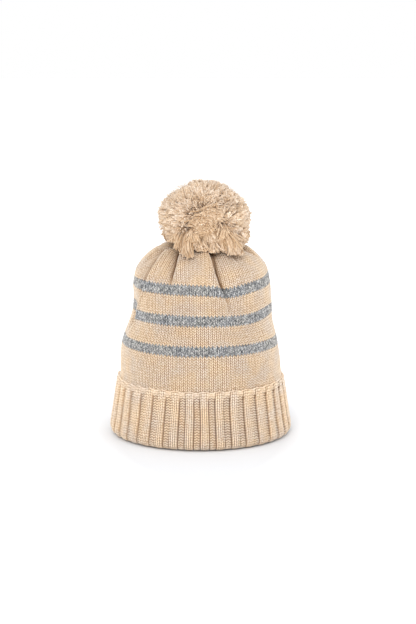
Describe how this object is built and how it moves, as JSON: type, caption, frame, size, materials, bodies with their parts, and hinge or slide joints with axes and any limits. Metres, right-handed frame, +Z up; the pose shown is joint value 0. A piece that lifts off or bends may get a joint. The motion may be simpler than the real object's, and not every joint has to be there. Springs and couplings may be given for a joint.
{
  "type": "pom pom beanie",
  "caption": "Knitted beanie with marled grey stripes, a gathered crown, a ribbed turn-up cuff and a large pom of cut yarn on the crown.",
  "frame": {"origin": "on the floor under the middle of the hat, where the fold of the turn-up rests", "axes": "+Z up from the head opening to the pom, front towards -Y, +X to the right seen from the front"},
  "size_m": [0.17, 0.17, 0.2366],
  "materials": {
    "beige_knit": "matte",
    "rib_knit": "matte",
    "grey_knit": "matte",
    "pom_yarn": "matte",
    "tie_cord": "matte"
  },
  "bodies": {
    "knit_body": {"inner_ribbed_band": "rib_knit", "lower_body_band": "beige_knit", "stripe_lower": "grey_knit", "body_band_above_lower_stripe": "beige_knit", "stripe_middle": "grey_knit", "body_band_above_middle_stripe": "beige_knit", "stripe_upper": "grey_knit", "crown": "beige_knit", "back_seam": "beige_knit", "crown_drawstring": "tie_cord"},
    "cuff": {"turn_up_cuff": "rib_knit"},
    "pom_knot": {"tie_cord_knot": "tie_cord"},
    "pom_tether": {"tie_cord_tether": "tie_cord"},
    "pom": {"pom_tie_cord": "tie_cord", "pom_tie_tails": "tie_cord", "pom_waist_strands": "pom_yarn", "pom_left_half": "pom_yarn", "pom_right_half": "pom_yarn"}
  },
  "joints": [
    {"name": "cuff_slide", "type": "slide", "parent": "knit_body", "child": "cuff", "axis": [0, 0, -1], "range_m": [0, 0.045]},
    {"name": "pom_twist", "type": "hinge", "parent": "knit_body", "child": "pom_knot", "pos_m": [0, 0, 0.1665], "axis": [0, 0, 1], "range_deg": [-90, 90]},
    {"name": "pom_nod", "type": "hinge", "parent": "pom_knot", "child": "pom_tether", "pos_m": [0, 0, 0.1665], "axis": [1, 0, 0], "range_deg": [-7, 7]},
    {"name": "pom_sway", "type": "hinge", "parent": "pom_tether", "child": "pom", "pos_m": [0, 0, 0.1665], "axis": [0, 1, 0], "range_deg": [-7, 7]}
  ]
}
